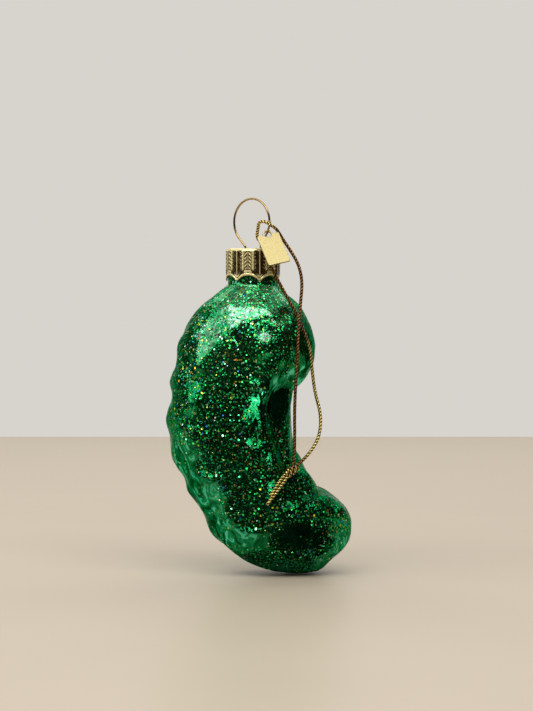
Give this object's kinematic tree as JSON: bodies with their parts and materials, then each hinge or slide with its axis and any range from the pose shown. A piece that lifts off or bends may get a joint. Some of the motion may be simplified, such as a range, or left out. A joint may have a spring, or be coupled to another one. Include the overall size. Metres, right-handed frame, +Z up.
{
  "type": "pickle ornament",
  "caption": "Hollow blown-glass pickle ornament with a stamped metal cap, a spring-wire hanging loop, a small plain tag on a jump ring and a tied twisted cord.",
  "frame": {"origin": "inner top of the wire loop on the neck's axis, where a hook or twig carries the ornament", "axes": "+Z up along the neck's axis, +X towards the hollow side of the crescent, -Y towards the front"},
  "size_m": [0.0488, 0.0321, 0.0976],
  "materials": {
    "gold_wire": "polished gold-coloured wire",
    "gold_cap": "stamped, gold-coloured, dark in the recesses",
    "green_glass": "silvered inside, green lacquer and glitter outside",
    "gold_ring": "polished gold-coloured wire",
    "gold_tag": "satin, pale gold",
    "cord": "twisted dark and gold metallic thread"
  },
  "bodies": {
    "hanger": {"hanger_wire": "gold_wire"},
    "cap": {"cap": "gold_cap"},
    "glass": {"glass_body": "green_glass", "cord_loop": "cord", "cord_knot": "cord", "cord_tail_long": "cord", "cord_tail_short": "cord"},
    "ring": {"jump_ring": "gold_ring"},
    "tag": {"tag": "gold_tag"}
  },
  "joints": [
    {"name": "wire_pull", "type": "slide", "parent": "hanger", "child": "cap", "axis": [0, 0, -1], "range_m": [0, 0.0025]},
    {"name": "cap_turn", "type": "hinge", "parent": "cap", "child": "glass", "pos_m": [0, 0, -0.0176], "axis": [0, 0, 1], "continuous": true, "deforming": ["cord_loop"]},
    {"name": "ring_swing", "type": "hinge", "parent": "cap", "child": "ring", "pos_m": [0.0043, -0.0064, -0.0065], "axis": [-0.9659, 0, 0.2588], "range_deg": [0, 55]},
    {"name": "tag_swing", "type": "hinge", "parent": "ring", "child": "tag", "pos_m": [0.00366, -0.0064, -0.00889], "axis": [0, -1, 0], "range_deg": [0, 12]}
  ]
}
